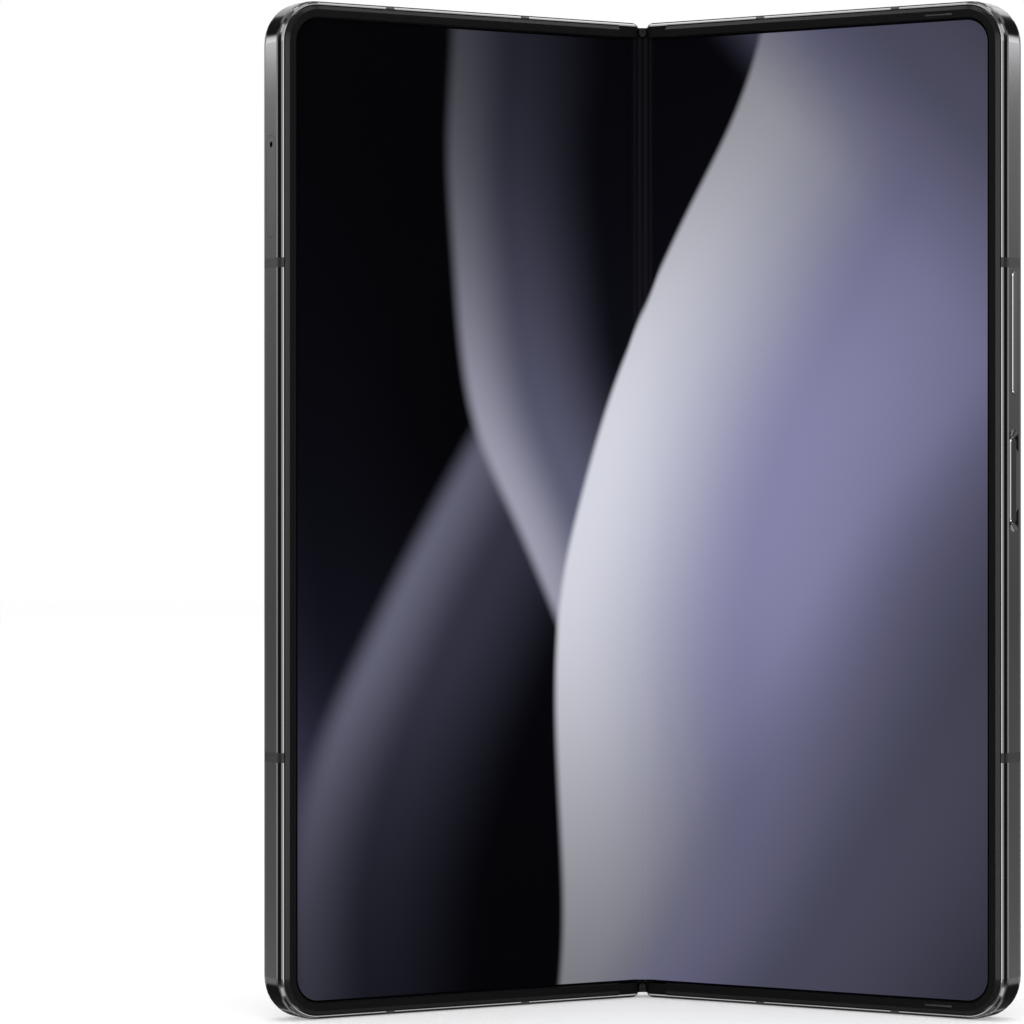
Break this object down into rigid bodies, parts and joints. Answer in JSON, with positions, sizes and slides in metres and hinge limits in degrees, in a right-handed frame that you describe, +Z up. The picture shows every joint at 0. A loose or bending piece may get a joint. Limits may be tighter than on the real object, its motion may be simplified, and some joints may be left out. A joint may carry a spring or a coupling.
{
  "type": "foldable smartphone",
  "caption": "Book-style foldable smartphone with a bending inner screen, a geared spine, a rear camera island, side keys and a card tray.",
  "frame": {"origin": "centre of the bounding box at the height of the surface that the phone stands on", "axes": "+X to the viewer's right, +Y away from the viewer, +Z up along the spine; the inner screen faces -Y"},
  "size_m": [0.1152, 0.0392, 0.1549],
  "materials": {
    "graphite_metal": "polished dark anodised",
    "steel": "fine brushed",
    "spine_metal": "polished dark anodised",
    "black_plastic": "satin",
    "soft_black": "matt",
    "band_plastic": "matt",
    "screen": "gloss",
    "back_glass": "gloss",
    "dark_glass": "gloss",
    "flash_cream": "gloss",
    "brass": "plain",
    "cell": "foil wrapped",
    "board": "solder mask",
    "copper": "enamelled",
    "card": "plain"
  },
  "bodies": {
    "spine": {"spine_cover": "spine_metal", "spine_end_caps": "spine_metal", "hinge_housings": "steel", "hinge_centre_plate": "steel", "hinge_shafts": "steel", "hinge_springs": "steel", "display_fold": "screen"},
    "right_half": {"right_frame": "graphite_metal", "right_antenna_bands": "band_plastic", "right_bezel": "black_plastic", "right_fold_guards": "soft_black", "display_right": "screen", "right_wing_plate": "steel", "right_slide_brackets": "graphite_metal", "rear_glass": "back_glass", "camera_island": "graphite_metal", "camera_rings": "steel", "camera_cover_lenses": "dark_glass", "camera_modules": "black_plastic", "camera_lens_elements": "dark_glass", "flash_lens": "flash_cream", "key_switches": "brass", "usb_port": "steel", "right_battery": "cell", "main_board": "board", "charging_coil": "copper", "right_magnets": "steel"},
    "left_half": {"left_frame": "graphite_metal", "left_antenna_bands": "band_plastic", "left_bezel": "black_plastic", "left_fold_guards": "soft_black", "display_left": "screen", "left_wing_plate": "steel", "left_slide_brackets": "graphite_metal", "cover_glass": "back_glass", "cover_display": "dark_glass", "cover_camera": "black_plastic", "left_battery": "cell", "sub_board": "board", "speakers": "black_plastic", "vibration_motor": "steel", "left_magnets": "steel", "sim_slot": "steel"},
    "power_key": {"power_key": "graphite_metal"},
    "volume_key": {"volume_key": "graphite_metal"},
    "sim_tray": {"sim_tray": "graphite_metal", "sim_card": "card"},
    "right_sync_arms": {"right_sync_arms": "steel"},
    "left_sync_arms": {"left_sync_arms": "steel"},
    "right_idler_gears": {"right_idler_gears": "brass"},
    "left_idler_gears": {"left_idler_gears": "brass"}
  },
  "joints": [
    {"name": "fold_right", "type": "hinge", "parent": "spine", "child": "right_half", "pos_m": [0.00172, 0.01454, 0.07745], "axis": [0, 0, -1], "range_deg": [-32, 58], "deforming": ["display_fold"]},
    {"name": "fold_left", "type": "hinge", "parent": "spine", "child": "left_half", "pos_m": [-0.00172, 0.01454, 0.07745], "axis": [0, 0, 1], "range_deg": [-32, 58]},
    {"name": "right_arm_swing", "type": "hinge", "parent": "spine", "child": "right_sync_arms", "pos_m": [0.003, 0.01582, 0.07745], "axis": [0, 0, -1], "range_deg": [-32, 58]},
    {"name": "left_arm_swing", "type": "hinge", "parent": "spine", "child": "left_sync_arms", "pos_m": [-0.003, 0.01582, 0.07745], "axis": [0, 0, 1], "range_deg": [-32, 58]},
    {"name": "right_idler_turn", "type": "hinge", "parent": "spine", "child": "right_idler_gears", "pos_m": [0.001, 0.01582, 0.07745], "axis": [0, 0, 1], "range_deg": [-32, 58]},
    {"name": "left_idler_turn", "type": "hinge", "parent": "spine", "child": "left_idler_gears", "pos_m": [-0.001, 0.01582, 0.07745], "axis": [0, 0, -1], "range_deg": [-32, 58]},
    {"name": "power_key_press", "type": "slide", "parent": "right_half", "child": "power_key", "axis": [-0.848, 0.5299, 0], "range_m": [0, 0.00025], "stiffness_N_per_m": 2500},
    {"name": "volume_key_rock", "type": "hinge", "parent": "right_half", "child": "volume_key", "pos_m": [0.05431, -0.01605, 0.10435], "axis": [0.5299, 0.848, 0], "range_deg": [-0.9, 0.9], "stiffness_Nm_per_rad": 0.5},
    {"name": "sim_tray_slide", "type": "slide", "parent": "left_half", "child": "sim_tray", "axis": [-0.848, -0.5299, 0], "range_m": [0, 0.025]}
  ],
  "couplings": [
    {"joint": "fold_left", "follows": "fold_right", "ratio": 1},
    {"joint": "right_arm_swing", "follows": "fold_right", "ratio": 1},
    {"joint": "left_arm_swing", "follows": "fold_right", "ratio": 1},
    {"joint": "right_idler_turn", "follows": "fold_right", "ratio": 1},
    {"joint": "left_idler_turn", "follows": "fold_right", "ratio": 1}
  ]
}
